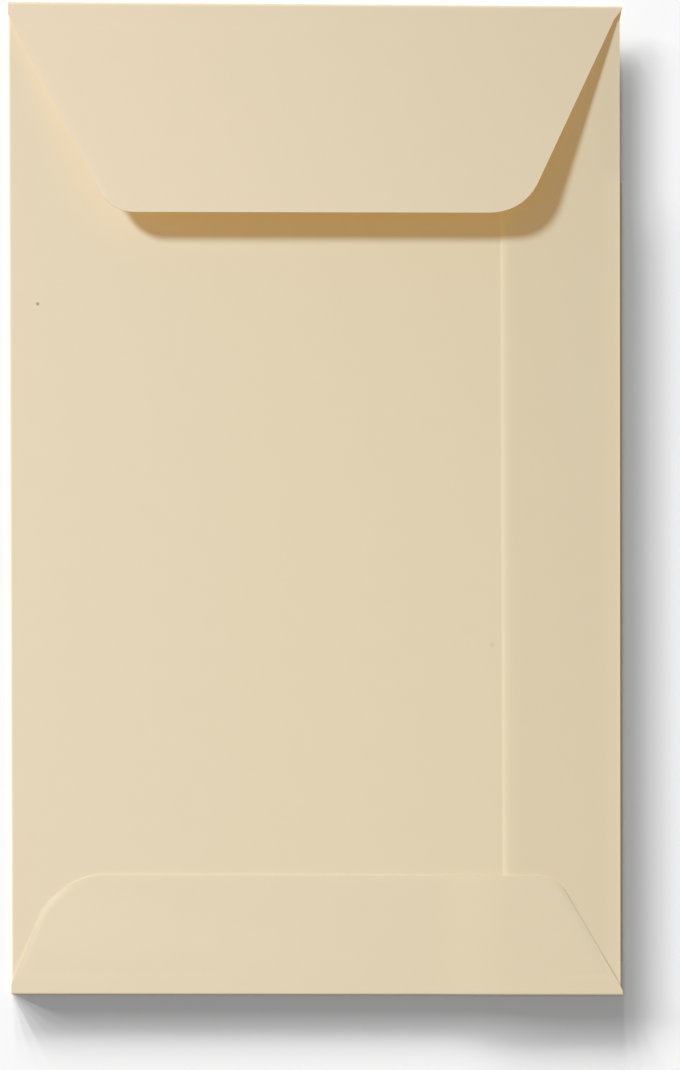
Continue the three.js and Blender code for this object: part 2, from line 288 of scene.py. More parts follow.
# %% [markdown]
# ## Holding cuts
# Smooth shading averages the normals at each vertex, so a large flat face beside a tight fold would be
# shaded as if it bulged. A cut close to the fold holds the bend in a narrow strip and leaves the rest
# flat. One more cut goes across the flap near its root: between the two its edge stays unpressed.

# %% Holding cuts
HOLD = 0.12
FLAP_RIM_FROM = 2.0

pick(front, "FACE", lambda middle, face: flap_run(middle) > FLAP_SHOULDER)
bpy.ops.mesh.bisect(plane_co=(root + along * FLAP_RIM_FROM) * MM, plane_no=along)
cut(front, (0, CREASE_Y - HOLD, 0), (0, 1, 0))
for x in (-SIDE_FOLD_X + HOLD, SIDE_FOLD_X - HOLD):
    cut(front, (x, 0, 0), (1, 0, 0))
cut(front, (0, BOTTOM_FOLD_Y + HOLD, 0), (0, 1, 0))
bpy.ops.object.mode_set(mode="OBJECT")
print("front sheet", len(front.data.vertices), "vertices")

# %% [markdown]
# ## The ridge down the back
# The back panel folds over from the left and is glued on top of the narrow side flap, which hides below
# it. Pressed down by the folding machine, it climbs the side flap's raw edge in a ridge as high as one
# sheet: a sharp foot on the left, then a curve that flattens to the right. That ridge is the one line
# down the back of the envelope. It could be painted, but then it would stay bright in any light, so
# it is a height for each place on the sheet. The right edge springs up a little over the side fold,
# and sags where that fold has ended.

# %% The ridge down the back
BACK_BOTTOM = reach("back_panel", "low", "z")
LAYER_STEP = round(reach("back_panel", "high", "z") - BACK_BOTTOM - PAPER, 4)
SEAM_LOW = (20.3, reach("side_flap", "low", "y"))
SEAM_HIGH = (20.1, reach("side_flap", "high", "y"))
CLIMB_FOOT = 0.55
CLIMB_CURVE = 0.36
EDGE_SPRINGS = ((0.05, 30.4, 1.6), (0.04, 31.95, 0.3))  # height, where it starts, over how far
EDGE_SAGS = (0.04, 29.2, 3)
FREE_FROM_Y = 32.5
FREE_RUN = 3


def smoothstep(share):
    share = min(1.0, max(0.0, share))
    return share * share * (3 - 2 * share)


def seam_x(y):
    """Where the raw edge of the hidden side flap runs: it leans a little."""
    share = (y - SEAM_LOW[1]) / (SEAM_HIGH[1] - SEAM_LOW[1])
    return SEAM_LOW[0] + (SEAM_HIGH[0] - SEAM_LOW[0]) * share


def climbed(x, y):
    """How far a sheet over the side flap has climbed, from 0 at the ridge's foot to 1."""
    return 1 - math.exp(-max(0.0, x - seam_x(y) + CLIMB_FOOT) / CLIMB_CURVE)


def back_lift(x, y, z):
    if z < BACK_BOTTOM:
        return 0
    held = 1 - smoothstep((y - FREE_FROM_Y) / FREE_RUN)
    springs = sum(height * smoothstep((x - start) / run) for height, start, run in EDGE_SPRINGS)
    height, start, run = EDGE_SAGS
    sags = height * smoothstep((x - start) / run)
    return LAYER_STEP * climbed(x, y) + held * springs - (1 - held) * sags


print("ridge", LAYER_STEP, "mm high at x", round(seam_x(0), 2))

# %% [markdown]
# ## Folding and lifting a sheet
# A side fold is a tight round turn of the paper, which brings a sheet from the back down to the level of
# the front panel. A spin of the sheet's outer edge by half a turn makes it. The ridge could be pulled up
# by hand with proportional editing, but every sheet that crosses it has to rise in the same place, so
# each vertex is moved up by a height that is worked out from where it is.

# %% Folding and lifting a sheet
SIDE_FOLD_Z = round(RIGHT - SIDE_FOLD_X, 4)
SIDE_FOLD_STEPS = 12


def fold_side(piece, side):
    """Spin the sheet's outer edge round a side fold, down to the level of the front panel."""
    pick(piece, "EDGE", lambda middle, edge: middle.x * side > SIDE_FOLD_X - NEAR)
    bpy.ops.mesh.spin(
        steps=SIDE_FOLD_STEPS,
        angle=math.pi,
        center=(side * SIDE_FOLD_X * MM, 0, SIDE_FOLD_Z * MM),
        axis=(0, -side, 0),
    )


def shape_heights(piece, height):
    """Move each vertex up by a height in millimetres that depends on where it is."""
    mesh = bmesh.from_edit_mesh(piece.data)
    for vertex in mesh.verts:
        x, y, z = vertex.co / MM
        vertex.co.z += height(x, y, z) * MM
    bmesh.update_edit_mesh(piece.data)


print("side fold", round(2 * SIDE_FOLD_Z, 2), "mm high, its axis", SIDE_FOLD_X, "mm from the middle")

# %% [markdown]
# ## Back panel
# The back panel comes over from the left fold and runs on over the side flap, up to the right edge.
# Upright cuts are bisected along the ridge, closer together where it is steepest, and the strips
# between them are lifted by the heights above. A plane subdivided evenly would need many thousands of
# faces to hold a bend this tight, and these cuts do it with a few hundred.

# %% Back panel
BACK_WIDER = 0.1  # the raw edge reaches this much further than the solid's
BACK_RIGHT_X = reach("back_panel", "high", "x") + BACK_WIDER
RIDGE_CUTS = (-0.08, -0.02, 0.03, 0.08, 0.14, 0.21, 0.29, 0.38, 0.48, 0.6, 0.74, 0.92, 1.15, 1.5, 2.1)
EDGE_CUTS_X = (29.0, 29.2, 29.8, 30.4, 30.8, 31.2, 31.6, 31.9)
FREE_CUTS = 6

back = start_sheet(
    "back_panel_sheet",
    (-SIDE_FOLD_X, BACK_RIGHT_X),
    (reach("back_panel", "low", "y"), reach("back_panel", "high", "y")),
    BACK_BOTTOM + PAPER / 2,
)
bpy.ops.object.mode_set(mode="EDIT")
fold_side(back, -1)
lean = Vector((1, (SEAM_LOW[0] - SEAM_HIGH[0]) / (SEAM_HIGH[1] - SEAM_LOW[1]), 0)).normalized()
for past_foot in RIDGE_CUTS:
    cut(back, (SEAM_LOW[0] - CLIMB_FOOT + past_foot, SEAM_LOW[1], 0), lean)
cut(back, (-SIDE_FOLD_X + HOLD, 0, 0), (1, 0, 0))
for x in EDGE_CUTS_X:
    cut(back, (x, 0, 0), (1, 0, 0))
for step in range(FREE_CUTS + 1):
    cut(back, (0, FREE_FROM_Y + FREE_RUN * step / FREE_CUTS, 0), (0, 1, 0))
shape_heights(back, back_lift)
bpy.ops.object.mode_set(mode="OBJECT")
print("back panel", len(back.data.vertices), "vertices")

# %% [markdown]
# ## Side flap
# The side flap is all but hidden. It shows only as the turn of its fold, a strip a quarter of a
# millimetre wide that looks out from under the back panel's raw edge and faces away from the light.
# It is made with its tapered ends, because the ends of the fold show at the envelope's right side.

# %% Side flap
SIDE_FLAP_TAPER = 2.5

side_flap = start_sheet(
    "side_flap_sheet", (SEAM_LOW[0], SIDE_FOLD_X), (SEAM_LOW[1], SEAM_HIGH[1]), BACK_BOTTOM + PAPER / 2
)
bpy.ops.object.mode_set(mode="EDIT")
pick(side_flap, "VERT", lambda point, vertex: point.x < SIDE_FOLD_X - NEAR and point.y > 0)
bpy.ops.transform.translate(value=((SEAM_HIGH[0] - SEAM_LOW[0]) * MM, -SIDE_FLAP_TAPER * MM, 0))
pick(side_flap, "VERT", lambda point, vertex: point.x < SIDE_FOLD_X - NEAR and point.y < 0)
bpy.ops.transform.translate(value=(0, SIDE_FLAP_TAPER * MM, 0))
fold_side(side_flap, 1)
cut(side_flap, (SIDE_FOLD_X - HOLD, 0, 0), (1, 0, 0))
bpy.ops.object.mode_set(mode="OBJECT")
print("side flap", len(side_flap.data.vertices), "vertices")

# %% [markdown]
# ## Bottom flap
# The bottom flap folds up last and is glued over the back panel. It is cut as the closing flap is: full
# width over a short shoulder, slanting sides, and two corners rounded by a vertex bevel. Its right
# side slants more and turns a tighter corner than its left.

# %% Bottom flap
FLAP_LEVEL = reach("bottom_flap", "low", "z") + PAPER / 2
BOTTOM_TOP_Y = reach("bottom_flap", "high", "y")
BOTTOM_SHOULDER_Y = -51.4
BOTTOM_SHOULDER_IN = 0.28
BOTTOM_END = {-1: RIGHT - 4.8, 1: RIGHT - 7.1}
BOTTOM_CORNER = {-1: 7.6, 1: 3.6}

bottom = start_sheet("bottom_flap_sheet", (-RIGHT, RIGHT), (BOTTOM_FOLD_Y, BOTTOM_TOP_Y), FLAP_LEVEL)
bpy.ops.object.mode_set(mode="EDIT")
cut(bottom, (0, BOTTOM_SHOULDER_Y, 0), (0, 1, 0))
for side, end_x in BOTTOM_END.items():
    pick(
        bottom,
        "VERT",
        lambda point, vertex: point.y > BOTTOM_TOP_Y - NEAR and point.x * side > 0,
    )
    bpy.ops.transform.translate(value=(-side * (RIGHT - end_x) * MM, 0, 0))
for side, end_x in BOTTOM_END.items():
    slant = math.atan2(BOTTOM_TOP_Y - BOTTOM_SHOULDER_Y, RIGHT - end_x)
    pick(
        bottom,
        "VERT",
        lambda point, vertex: point.y > BOTTOM_TOP_Y - NEAR and point.x * side > 0,
    )
    bpy.ops.mesh.bevel(
        affect="VERTICES",
        offset=BOTTOM_CORNER[side] * math.tan(slant / 2) * MM,
        segments=CORNER_SEGMENTS,
    )
pick(
    bottom,
    "VERT",
    lambda point, vertex: abs(point.y - BOTTOM_SHOULDER_Y) < NEAR and point.x > 0,
)
bpy.ops.transform.translate(value=(-BOTTOM_SHOULDER_IN * MM, 0, 0))
print("bottom flap", round(BOTTOM_TOP_Y + TOP, 1), "mm deep")

# %% [markdown]
# ## Bottom fold
# The folding machine presses the bottom fold hard, so it is squarer than a round and lit up to its
# edge. A spin gives the round. Then each of its points moves out to a superellipse, the curve between
# a circle and a rectangle: raising a circle's sine and cosine to a small power squares it.

# %% Bottom fold
BOTTOM_FOLD_STEPS = 16
BOTTOM_FOLD_RADIUS = (FLAP_LEVEL - PAPER / 2) / 2
BOTTOM_FOLD_Z = (FLAP_LEVEL + PAPER / 2) / 2
BOTTOM_FOLD_REACH = 0.32
FOLD_SQUARENESS = 5

pick(bottom, "EDGE", lambda middle, edge: middle.y < BOTTOM_FOLD_Y + NEAR)
bpy.ops.mesh.spin(
    steps=BOTTOM_FOLD_STEPS,
    angle=math.pi,
    center=(0, BOTTOM_FOLD_Y * MM, BOTTOM_FOLD_Z * MM),
    axis=(-1, 0, 0),
)
mesh = bmesh.from_edit_mesh(bottom.data)
for vertex in mesh.verts:
    x, y, z = vertex.co / MM
    if y < BOTTOM_FOLD_Y - NEAR:
        out = ((BOTTOM_FOLD_Y - y) / BOTTOM_FOLD_RADIUS) ** (2 / FOLD_SQUARENESS)
        up = (z - BOTTOM_FOLD_Z) / BOTTOM_FOLD_RADIUS
        up = math.copysign(abs(up) ** (2 / FOLD_SQUARENESS), up)
        vertex.co.y = (BOTTOM_FOLD_Y - BOTTOM_FOLD_REACH * out) * MM
        vertex.co.z = (BOTTOM_FOLD_Z + BOTTOM_FOLD_RADIUS * up) * MM
bmesh.update_edit_mesh(bottom.data)
print("bottom fold", round(2 * BOTTOM_FOLD_RADIUS + PAPER, 2), "mm high")

# %% [markdown]
# ## The bottom flap over the ridge
# The bottom flap crosses the ridge and rises with it, but gently, because it bridges the step. A trace
# of the pressing shows as a low crease above the fold. Both are heights again, on cuts that lie where
# the sheet bends. The cut above the crease is where the pressed edge will start, and a cut near each
# side keeps the long strips between them level.

# %% The bottom flap over the ridge
BRIDGE_FROM = 8
BRIDGE_RUN = 7.6
PRESSED_CREASE_Y = -51.3
PRESSED_CREASE_WIDTH = 0.14
PRESSED_CREASE_HEIGHT = 0.0014
CREASE_CUTS = (-0.45, -0.3, -0.2, -0.1, 0, 0.1, 0.2, 0.3, 0.45)
RIM_FROM_Y = -50.5
BRIDGE_CUTS_X = (-30, 12.0, 12.2, 13.2, 14.2, 15.2, 16.2, 17.2, 18.2, 19.2, 19.9, 29.8)


def bottom_lift(x, y, z):
    bridged = smoothstep((x - seam_x(y) + BRIDGE_FROM) / BRIDGE_RUN)
    share_of_height = (z - PAPER / 2) / (FLAP_LEVEL - PAPER / 2)
    crease = math.exp(-(((y - PRESSED_CREASE_Y) / PRESSED_CREASE_WIDTH) ** 2))
    return LAYER_STEP * bridged * share_of_height + PRESSED_CREASE_HEIGHT * crease


for step in CREASE_CUTS:
    cut(bottom, (0, PRESSED_CREASE_Y + step, 0), (0, 1, 0))
cut(bottom, (0, BOTTOM_FOLD_Y + HOLD, 0), (0, 1, 0))
cut(bottom, (0, RIM_FROM_Y, 0), (0, 1, 0))
for x in BRIDGE_CUTS_X:
    cut(bottom, (x, 0, 0), (1, 0, 0))
shape_heights(bottom, bottom_lift)
bpy.ops.object.mode_set(mode="OBJECT")
print("bottom flap", len(bottom.data.vertices), "vertices")

# %% [markdown]
# ## Thickness
# All four sheets get the same thickness of paper, half to each side of the surface drawn so far, so the
# folds keep an inner and an outer round. The normals are put right first, because the spins can turn
# some faces over, and on a closed slab that would turn the inner side round as well.

# %% Thickness
MERGE_WITHIN = 0.001


def select_only(piece):
    bpy.ops.object.select_all(action="DESELECT")
    piece.select_set(True)
    bpy.context.view_layer.objects.active = piece


def give_thickness(piece):
    select_only(piece)
    bpy.ops.object.mode_set(mode="EDIT")
    bpy.ops.mesh.select_all(action="SELECT")
    bpy.ops.mesh.remove_doubles(threshold=MERGE_WITHIN * MM)
    bpy.ops.mesh.normals_make_consistent(inside=False)
    bpy.ops.object.mode_set(mode="OBJECT")
    solidify = piece.modifiers.new("thickness", "SOLIDIFY")
    solidify.thickness = PAPER * MM
    solidify.offset = 0
    solidify.use_even_offset = True
    bpy.ops.object.modifier_apply(modifier=solidify.name)


for piece in (front, back, side_flap, bottom):
    give_thickness(piece)
    print(piece.name, len(piece.data.polygons), "faces")

# %% [markdown]
# ## Pressing a raw edge
# The die and the folding machine press some of the raw edges down, so that they read as soft lines,
# bright where they face the light and dark where they face away. A painted line would do that for one
# light alone, and a bevel would round the edge without lowering it. Here the top face is inset in three
# narrow rings. The innermost ring keeps its height, and the ones outside it go down, the rim the most.

# %% Pressing a raw edge
PRESSED_RINGS = ((0.24, 0.5), (0.26, 0.85), (0.26, 1.0))  # a ring's width, the share of height kept


def press_rim(piece, is_top, drop):
    """Inset a sheet's top face in rings and push the outermost ones down by a drop in millimetres."""
    select_only(piece)
    bpy.ops.object.mode_set(mode="EDIT")
    pick(piece, "FACE", is_top)
    for width, kept in PRESSED_RINGS:
        bpy.ops.mesh.inset(thickness=width * MM, use_even_offset=True)
    mesh = bmesh.from_edit_mesh(piece.data)
    # What is still selected lies inside all rings, and each ring outside it touches the one before.
    depth = {vertex: len(PRESSED_RINGS) for face in mesh.faces if face.select for vertex in face.verts}
    top_faces = [face for face in mesh.faces if is_top(face.calc_center_median() / MM, face)]
    for ring in reversed(range(len(PRESSED_RINGS))):
        for face in top_faces:
            if any(depth.get(vertex) == ring + 1 for vertex in face.verts):
                for vertex in face.verts:
                    depth.setdefault(vertex, ring)
    shares = (0.0, *(kept for width, kept in PRESSED_RINGS))
    for vertex, level in depth.items():
        x, y, z = vertex.co / MM
        vertex.co.z -= drop(x, y) * (1 - shares[level]) * MM
    bmesh.update_edit_mesh(piece.data)
    bpy.ops.object.mode_set(mode="OBJECT")


print("pressed edge", round(sum(width for width, kept in PRESSED_RINGS), 2), "mm wide")

# %% [markdown]
# ## Pressed edges
# Not every edge is pressed alike. The bottom flap's two slants go down most and its top edge a little,
# but not right of the ridge, where the sheets below hold that edge up. On the closing flap only the
# left slant is rounded. So each flap has its own rule for how far a place goes down.

# %% Pressed edges
TOP_EDGE_DROP = 0.02
SLANT_DROP = {-1: 0.066, 1: 0.105}
SLANT_BELOW_TOP = 0.6
SLANT_RUN = 1.2
FADES_FROM_X = 18.5
FADE_RUN = 3.5
LEVEL_UP_TO = 0.8
LEVEL_IN_FROM = 1.9
FLAP_SLANT_DROP = 0.065
FLAP_END_CLEAR = 0.8
FLAP_ROOT_CLEAR = 3
FACES_UP = 0.9  # a face whose normal is at least this upright belongs to a top side


def bottom_drop(x, y):
    """The bottom flap's drop; the rings along the fold, where there is no edge, stay level."""
    if y < RIM_FROM_Y + NEAR or y < RIM_FROM_Y + LEVEL_UP_TO and abs(x) < RIGHT - LEVEL_IN_FROM:
        return 0
    on_slant = smoothstep((BOTTOM_TOP_Y - SLANT_BELOW_TOP - y) / SLANT_RUN)
    if x < 0:
        return TOP_EDGE_DROP + SLANT_DROP[-1] * on_slant
    kept = 1 - smoothstep((x - FADES_FROM_X) / FADE_RUN)
    return TOP_EDGE_DROP * kept + SLANT_DROP[1] * on_slant


def flap_drop(x, y):
    """The closing flap's left slant alone is rounded by the die."""
    on_left_slant = x < -FLAP_END[-1] - FLAP_END_CLEAR and y < TOP - FLAP_ROOT_CLEAR
    return FLAP_SLANT_DROP if on_left_slant else 0


press_rim(
    bottom,
    lambda middle, face: face.normal.z > FACES_UP
    and middle.z > FLAP_LEVEL
    and middle.y > RIM_FROM_Y,
    bottom_drop,
)
press_rim(
    front,
    lambda middle, face: face.normal.z > FACES_UP and flap_run(middle) > FLAP_RIM_FROM,
    flap_drop,
)
print("pressed", bottom.name, "and", front.name)

# %% [markdown]
# ## Out of square
# A folding machine seldom folds a sheet quite square. On the real envelope two opposite corners are a
# quarter of a millimetre out, which shows where its edge runs along a straight line. Every sheet gets
# the same small skew, always inwards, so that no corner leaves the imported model's box. The flap is
# tilted, so a point on it that moves along the table also moves up or down, or it would leave the
# plane in which the gum lies below it.

# %% Out of square
SKEW_X = 0.233
SKEW_Y = 0.269
SMOOTH_UNDER = math.radians(40)

for piece in (front, back, side_flap, bottom):
    for vertex in piece.data.vertices:
        x, y, z = vertex.co / MM
        moved_y = y * (1 - SKEW_Y / (2 * TOP)) - x * SKEW_Y / (2 * RIGHT)
        vertex.co.x = (x * (1 - SKEW_X / (2 * RIGHT)) - y * SKEW_X / (2 * TOP)) * MM
        vertex.co.y = moved_y * MM
        if piece is front:
            on_flap = smoothstep((z - PAPER) / (2 * CREASE_Z - 2 * PAPER))
            vertex.co.z -= on_flap * (moved_y - y) * math.tan(REST_ANGLE) * MM
    select_only(piece)
    bpy.ops.object.shade_smooth_by_angle(angle=SMOOTH_UNDER)
    print(piece.name, [round(size / MM, 2) for size in piece.dimensions])

# %% [markdown]
# ## Colours and nodes
# Colours are picked from a picture as hex codes, which are meant for a screen. A shader works with
# amounts of light, so one function turns each code to linear values. A second one adds a node with its
# settings and its inputs in one go, so that a material reads from top to bottom.

# %% Colours and nodes
def srgb(code):
    """A colour written as a hex code, as the linear values that a shader works with."""
    parts = [int(code[i : i + 2], 16) / 255 for i in (1, 3, 5)]
    linear = [p / 12.92 if p <= 0.04045 else ((p + 0.055) / 1.055) ** 2.4 for p in parts]
    return (*linear, 1)


def add_node(tree, kind, settings=None, inputs=None):
    """A node with its settings; an input is a plain value, or the (node, output) that feeds it."""
    node = tree.nodes.new(kind)
    for key, value in (settings or {}).items():
        setattr(node, key, value)
    for key, value in (inputs or {}).items():
        if isinstance(value, tuple) and isinstance(value[0], bpy.types.Node):
            tree.links.new(value[0].outputs[value[1]], node.inputs[key])
        else:
            node.inputs[key].default_value = value
    return node


def new_material(name):
    material = bpy.data.materials.new(name)
    material.use_nodes = True
    material.node_tree.nodes.clear()
    return material, material.node_tree


print("mid grey on a screen is", round(srgb("#808080")[0], 3), "of white's light")

# %% [markdown]
# ## Light through a single sheet
# A single sheet lets some light through, red most and blue least, so the flap's shadow is orange brown
# and not grey. The shader could scatter light inside the slab, but such scattering is left out of
# light that has bounced once, so the shadow would stay grey. Here the flap's own shadow is tinted
# instead: for shadow rays, and for nothing else, the sheet is a coloured filter. The slab has two
# sides, so the tint is given where a ray enters and not again where it leaves. The sheet below is
# also lit by the flap's underside, and for those rays a small share of the light goes through.

# %% Light through a single sheet
SHEET_PASSES = (0.39, 0.222, 0.015, 1)
FILM_PASSES = (1, 1, 1, 1)
UNDERSIDE_GLOW = (0.85, 0.95, 0.9, 1)
GLOW_SHARE = 0.15


def filter_shadow_rays(tree, surface, passes):
    """Let shadow rays through, tinted once, where they enter; the rest meets the surface as it is."""
    ray = add_node(tree, "ShaderNodeLightPath")
    face = add_node(tree, "ShaderNodeNewGeometry")
    colour = add_node(
        tree,
        "ShaderNodeMix",
        {"data_type": "RGBA"},
        {"Factor": (face, "Backfacing"), 6: passes, 7: (1, 1, 1, 1)},
    )
    tint = add_node(tree, "ShaderNodeBsdfTransparent", inputs={"Color": (colour, 2)})
    mix = add_node(
        tree,
        "ShaderNodeMixShader",
        inputs={0: (ray, "Is Shadow Ray"), 1: surface, 2: (tint, "BSDF")},
    )
    return mix, "Shader"


def glow_below(tree, surface):
    """For light that has bounced off another surface, let a share of the light through."""
    ray = add_node(tree, "ShaderNodeLightPath")
    glow = add_node(tree, "ShaderNodeBsdfTranslucent", inputs={"Color": UNDERSIDE_GLOW})
    both = add_node(
        tree,
        "ShaderNodeMixShader",
        inputs={0: GLOW_SHARE, 1: surface, 2: (glow, "BSDF")},
    )
    mix = add_node(
        tree,
        "ShaderNodeMixShader",
        inputs={0: (ray, "Is Diffuse Ray"), 1: surface, 2: (both, "Shader")},
    )
    return mix, "Shader"


print("a sheet passes", SHEET_PASSES[:3], "of red, green and blue")

# %% [markdown]
# ## Clouds and painted light
# Uncoated wove paper is pressed wood fibre. Made on a plain woven wire it has no laid lines, but it is
# faintly cloudy, because the fibres lie in clumps of two or three millimetres. Its colour also changes
# from left to right, which is painted light and shade: darker or lighter, and warmer, as the light falls
# across each panel. A painted picture would stretch where the sheet turns round a fold, so both are
# drawn by nodes in Object coordinates: the clouds are noise of that size between two near shades, and
# the painted light and shade follow the place across the envelope.

# %% Clouds and painted light
CLOUDS_PER_MM = 0.45


def paper_colour(tree, millimetres, shades, tones, light_shift_ends_at):
    """Clouds of two shades, multiplied by painted light and shade that change from left to right."""
    clouds = add_node(
        tree,
        "ShaderNodeTexNoise",
        inputs={
            "Vector": (millimetres, "Vector"),
            "Scale": CLOUDS_PER_MM,
            "Detail": 3.0,
            "Roughness": 0.55,
        },
    )
    colour = add_node(
        tree,
        "ShaderNodeMix",
        {"data_type": "RGBA"},
        {"Factor": (clouds, "Fac"), 6: srgb(shades[0]), 7: srgb(shades[1])},
    )
    across = add_node(tree, "ShaderNodeSeparateXYZ", inputs={"Vector": (millimetres, "Vector")})
    painted_shift_share = add_node(
        tree,
        "ShaderNodeMapRange",
        inputs={"Value": (across, "X"), "From Min": -RIGHT, "From Max": light_shift_ends_at},
    )
    # Painted light and shade: a tone that changes from the panel's left to its right.
    painted_light_shift = add_node(
        tree,
        "ShaderNodeMix",
        {"data_type": "RGBA"},
        {"Factor": (painted_shift_share, "Result"), 6: (*tones[0], 1), 7: (*tones[1], 1)},
    )
    return add_node(
        tree,
        "ShaderNodeMix",
        {"data_type": "RGBA", "blend_type": "MULTIPLY"},
        {"Factor": 1.0, 6: (colour, 2), 7: (painted_light_shift, 2)},
    )


print("clouds", round(1 / CLOUDS_PER_MM, 1), "mm wide")

# %% [markdown]
# ## Flecks
# A fleck is a bit of bark that went through the pulp. This envelope has two on its back, one dark and
# one faint. Each could be a tiny piece of its own, but it lies in the paper and not on it, so it is
# drawn in the paper's colour: the distance from a point, faded to nothing at the fleck's rim.

# %% Flecks
FLECK_COLOUR = "#4a3c28"


def add_fleck(tree, millimetres, colour, place, radius, strength):
    """A round speck that fades out from its middle."""
    distance = add_node(
        tree,
        "ShaderNodeVectorMath",
        {"operation": "DISTANCE"},
        {0: (millimetres, "Vector"), 1: place},
    )
    spot = add_node(
        tree,
        "ShaderNodeMapRange",
        {"interpolation_type": "SMOOTHSTEP"},
        {"Value": (distance, "Value"), "From Max": radius, "To Min": strength, "To Max": 0.0},
    )
    return add_node(
        tree,
        "ShaderNodeMix",
        {"data_type": "RGBA"},
        {"Factor": (spot, "Result"), 6: (colour, 2), 7: srgb(FLECK_COLOUR)},
    )


print("flecks take the colour", FLECK_COLOUR)

# %% [markdown]
# ## Cream wove paper
# A light pass between steel rollers leaves the paper smooth to the hand, matt and nearly even. What is
# left is a soft grain. A fibre is 0.03 mm wide, a third of what the picture can show, so the fibres are
# drawn coarser, as grains of 0.2 mm, in a relief of a few thousandths of a millimetre. The same grains
# vary the roughness, because pressed fibres shine a little more than loose ones. Scattering below the
# surface is left out: it would blur nothing that shows on so thin a sheet.

# %% Cream wove paper
PER_MM = (1000, 1000, 1000)  # turns Object coordinates to millimetres, so that a scale is a real size
FIBRES_PER_MM = 5.0
FIBRE_RELIEF = 0.004
FIBRE_ROUGHNESS = (0.82, 0.92)


def wove_paper(name, shades, tones, light_shift_ends_at=RIGHT, flecks=(), lets_light_through=False):
    material, tree = new_material(name)
    place = add_node(tree, "ShaderNodeTexCoord")
    millimetres = add_node(
        tree, "ShaderNodeMapping", inputs={"Vector": (place, "Object"), "Scale": PER_MM}
    )
    colour = paper_colour(tree, millimetres, shades, tones, light_shift_ends_at)
    for fleck in flecks:
        colour = add_fleck(tree, millimetres, colour, *fleck)
    fibres = add_node(
        tree,
        "ShaderNodeTexNoise",
        inputs={
            "Vector": (millimetres, "Vector"),
            "Scale": FIBRES_PER_MM,
            "Detail": 4.0,
            "Roughness": 0.6,
        },
    )
    relief = add_node(
        tree,
        "ShaderNodeBump",
        inputs={"Height": (fibres, "Fac"), "Strength": 0.25, "Distance": FIBRE_RELIEF * MM},
    )
    gloss = add_node(
        tree,
        "ShaderNodeMapRange",
        inputs={
            "Value": (fibres, "Fac"),
            "To Min": FIBRE_ROUGHNESS[0],
            "To Max": FIBRE_ROUGHNESS[1],
        },
    )
    paper = add_node(
        tree,
        "ShaderNodeBsdfPrincipled",
        inputs={
            "Base Color": (colour, 2),
            "Roughness": (gloss, "Result"),
            "IOR": 1.45,
            "Specular IOR Level": 0.3,
            "Normal": (relief, "Normal"),
        },
    )
    surface = (paper, "BSDF")
    if lets_light_through:
        surface = filter_shadow_rays(tree, glow_below(tree, surface), SHEET_PASSES)
    add_node(tree, "ShaderNodeOutputMaterial", inputs={"Surface": surface})
    return material


print("grains", 1 / FIBRES_PER_MM, "mm wide, roughness", FIBRE_ROUGHNESS)

# %% [markdown]
# ## Three tones of one paper, with painted light and shade
# All the panels are one sheet, yet they don't look quite alike. Over two or three layers the paper is
# backed by more paper and looks lighter than the single sheet of the flap. The single sheet's shades
# are also painted a little darker, as shade that offsets the extra light the tilted flap catches from
# the lamp. Each panel gets its own pair of tones, for its left and its right side, which are painted
# light and shade across it.

# %% Three tones of one paper
# Painted light and shade: the layered shades are lighter, and the single sheet's are darker to offset the
# flap's tilt towards the lamp.
LAYERED = ("#e2d3b6", "#e4d5b8")
SINGLE = ("#dfcfb3", "#e1d1b5")
FLECKS = (  # each has a place, a radius and a strength
    ((-29.43, 20.72, 0.44), 0.27, 0.75),
    ((18.6, -15.3, 0.44), 0.5, 0.1),
)
# The back's painted light and shade stop changing this far right of the middle, in millimetres.
BACK_LIGHT_SHIFT_ENDS_AT = 20

# Each pair of tones below is painted light and shade, for the panel's left and right side.
back_paper = wove_paper(
    "cream_wove_paper_back",
    LAYERED,
    ((0.992, 0.987, 0.99), (0.965, 0.96, 0.922)),
    BACK_LIGHT_SHIFT_ENDS_AT,
    FLECKS,
)
bottom_paper = wove_paper(
    "cream_wove_paper_bottom", LAYERED, ((0.99, 0.985, 0.988), (1.0, 0.995, 0.962))
)
front_paper = wove_paper(
    "cream_wove_paper_front",
    SINGLE,
    ((0.998, 0.993, 0.996), (0.99, 0.985, 0.957)),
    lets_light_through=True,
)
print("paper", [round(value, 3) for value in srgb(LAYERED[0])[:3]])

# %% [markdown]
# ## A film that has dried on paper
# Glue and gum are both brushed on wet and dry to a film that follows the paper. What the eye gets from
# it is a gloss that breaks up, because the film pools a little as it dries, in patches of one or two
# millimetres. One noise gives the patches both their tone and their relief. The film is clear to
# shadow rays, because the tint of the sheet already holds what it would take away.

# %% A film that has dried on paper
POOLS_PER_MM = 0.6


def dried_film(name, colours, roughness, ripple):
    material, tree = new_material(name)
    place = add_node(tree, "ShaderNodeTexCoord")
    millimetres = add_node(
        tree, "ShaderNodeMapping", inputs={"Vector": (place, "Object"), "Scale": PER_MM}
    )
    pools = add_node(
        tree,
        "ShaderNodeTexNoise",
        inputs={"Vector": (millimetres, "Vector"), "Scale": POOLS_PER_MM, "Detail": 3.0},
    )
    tone = add_node(
        tree,
        "ShaderNodeMix",
        {"data_type": "RGBA"},
        {"Factor": (pools, "Fac"), 6: srgb(colours[0]), 7: srgb(colours[1])},
    )
    relief = add_node(
        tree,
        "ShaderNodeBump",
        inputs={"Height": (pools, "Fac"), "Strength": 0.4, "Distance": ripple * MM},
    )
    film = add_node(
        tree,
        "ShaderNodeBsdfPrincipled",
        inputs={
            "Base Color": (tone, 2),
            "Roughness": roughness,
            "IOR": 1.48,
            "Normal": (relief, "Normal"),
        },
    )
    surface = filter_shadow_rays(tree, (film, "BSDF"), FILM_PASSES)
    add_node(tree, "ShaderNodeOutputMaterial", inputs={"Surface": surface})
    return material


